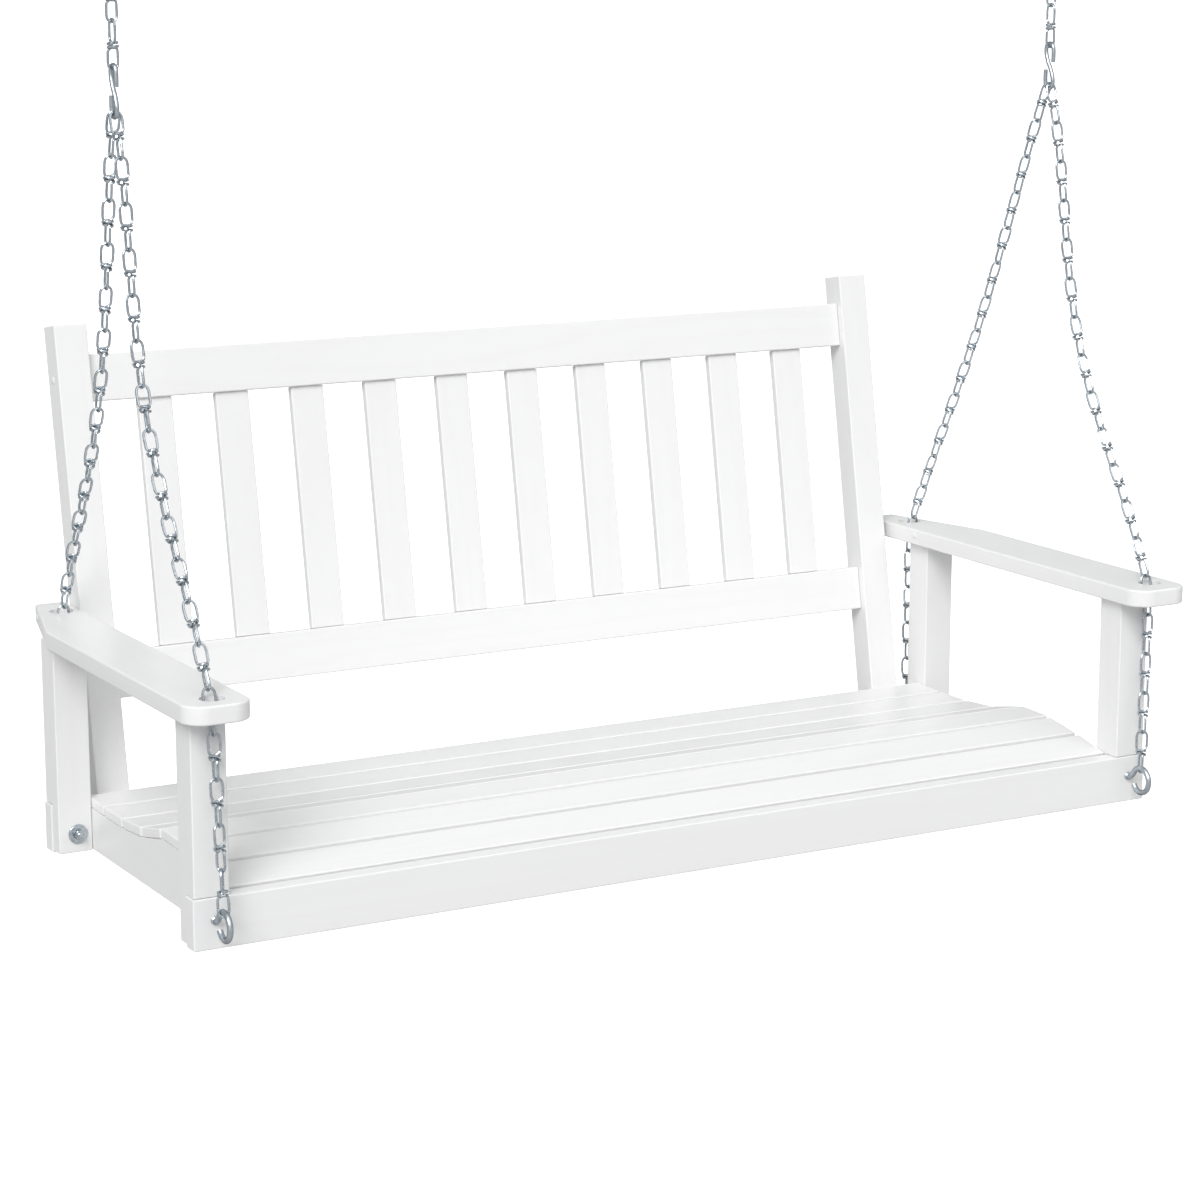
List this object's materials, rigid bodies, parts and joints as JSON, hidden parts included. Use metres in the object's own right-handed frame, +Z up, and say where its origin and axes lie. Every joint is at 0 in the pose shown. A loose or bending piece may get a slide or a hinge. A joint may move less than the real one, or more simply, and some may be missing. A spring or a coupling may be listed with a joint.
{
  "type": "porch swing",
  "caption": "Slatted wooden porch swing with a contoured seat, leaning back and shaped arms, hung by chains from S-hooks and ceiling plates.",
  "frame": {"origin": "midpoint between the two ceiling plates, at the height of their top faces", "axes": "+X towards the right end seen from the front, -Y towards the sitter's feet, +Z up"},
  "size_m": [1.2455, 0.5952, 1.1172],
  "materials": {
    "white_painted_wood": "white satin paint over wood",
    "zinc_plated_steel": "bright zinc plating"
  },
  "bodies": {
    "ceiling_hangers": {"ceiling_plate_left": "zinc_plated_steel", "ceiling_plate_right": "zinc_plated_steel"},
    "top_links": {"top_link_left": "zinc_plated_steel", "top_link_right": "zinc_plated_steel"},
    "left_upper_chain": {"upper_chain_left": "zinc_plated_steel"},
    "right_upper_chain": {"upper_chain_right": "zinc_plated_steel"},
    "left_s_hook": {"s_hook_left": "zinc_plated_steel"},
    "right_s_hook": {"s_hook_right": "zinc_plated_steel"},
    "bench": {"front_rail": "white_painted_wood", "rear_rail": "white_painted_wood", "side_rail_left": "white_painted_wood", "side_rail_right": "white_painted_wood", "centre_seat_support": "white_painted_wood", "seat_slat_1": "white_painted_wood", "seat_slat_2": "white_painted_wood", "seat_slat_3": "white_painted_wood", "seat_slat_4": "white_painted_wood", "seat_slat_5": "white_painted_wood", "seat_slat_6": "white_painted_wood", "seat_slat_7": "white_painted_wood", "back_top_rail": "white_painted_wood", "back_lower_rail": "white_painted_wood", "back_slat_1": "white_painted_wood", "back_slat_2": "white_painted_wood", "back_slat_3": "white_painted_wood", "back_slat_4": "white_painted_wood", "back_slat_5": "white_painted_wood", "back_slat_6": "white_painted_wood", "back_slat_7": "white_painted_wood", "back_slat_8": "white_painted_wood", "back_slat_9": "white_painted_wood", "back_slat_10": "white_painted_wood", "back_post_left": "white_painted_wood", "arm_left": "white_painted_wood", "front_arm_post_left": "white_painted_wood", "front_hook_bolt_left": "zinc_plated_steel", "front_washer_left": "zinc_plated_steel", "front_nut_left": "zinc_plated_steel", "front_chain_left": "zinc_plated_steel", "rear_arm_post_left": "white_painted_wood", "rear_hook_bolt_left": "zinc_plated_steel", "rear_washer_left": "zinc_plated_steel", "rear_nut_left": "zinc_plated_steel", "rear_chain_left": "zinc_plated_steel", "back_post_right": "white_painted_wood", "arm_right": "white_painted_wood", "front_arm_post_right": "white_painted_wood", "front_hook_bolt_right": "zinc_plated_steel", "front_washer_right": "zinc_plated_steel", "front_nut_right": "zinc_plated_steel", "front_chain_right": "zinc_plated_steel", "rear_arm_post_right": "white_painted_wood", "rear_hook_bolt_right": "zinc_plated_steel", "rear_washer_right": "zinc_plated_steel", "rear_nut_right": "zinc_plated_steel", "rear_chain_right": "zinc_plated_steel"}
  },
  "joints": [
    {"name": "swing", "type": "hinge", "parent": "ceiling_hangers", "child": "top_links", "pos_m": [0, 0, -0.02566], "axis": [1, 0, 0], "range_deg": [-25, 25]},
    {"name": "left_chain_sway", "type": "hinge", "parent": "top_links", "child": "left_upper_chain", "pos_m": [-0.584, 0, -0.05536], "axis": [0, 1, 0], "range_deg": [-12, 12]},
    {"name": "right_chain_sway", "type": "hinge", "parent": "top_links", "child": "right_upper_chain", "pos_m": [0.584, 0, -0.05536], "axis": [0, 1, 0], "range_deg": [-12, 12]},
    {"name": "left_s_hook_turn", "type": "hinge", "parent": "left_upper_chain", "child": "left_s_hook", "pos_m": [-0.584, 0, -0.2427], "axis": [0, 1, 0], "range_deg": [-12, 12]},
    {"name": "right_s_hook_turn", "type": "hinge", "parent": "right_upper_chain", "child": "right_s_hook", "pos_m": [0.584, 0, -0.2427], "axis": [0, 1, 0], "range_deg": [-12, 12]},
    {"name": "bench_rock", "type": "hinge", "parent": "left_s_hook", "child": "bench", "pos_m": [-0.584, 0, -0.2877], "axis": [1, 0, 0], "range_deg": [-14, 14]}
  ],
  "couplings": [
    {"joint": "right_chain_sway", "follows": "left_chain_sway", "ratio": 1},
    {"joint": "left_s_hook_turn", "follows": "left_chain_sway", "ratio": -1},
    {"joint": "right_s_hook_turn", "follows": "left_chain_sway", "ratio": -1}
  ]
}
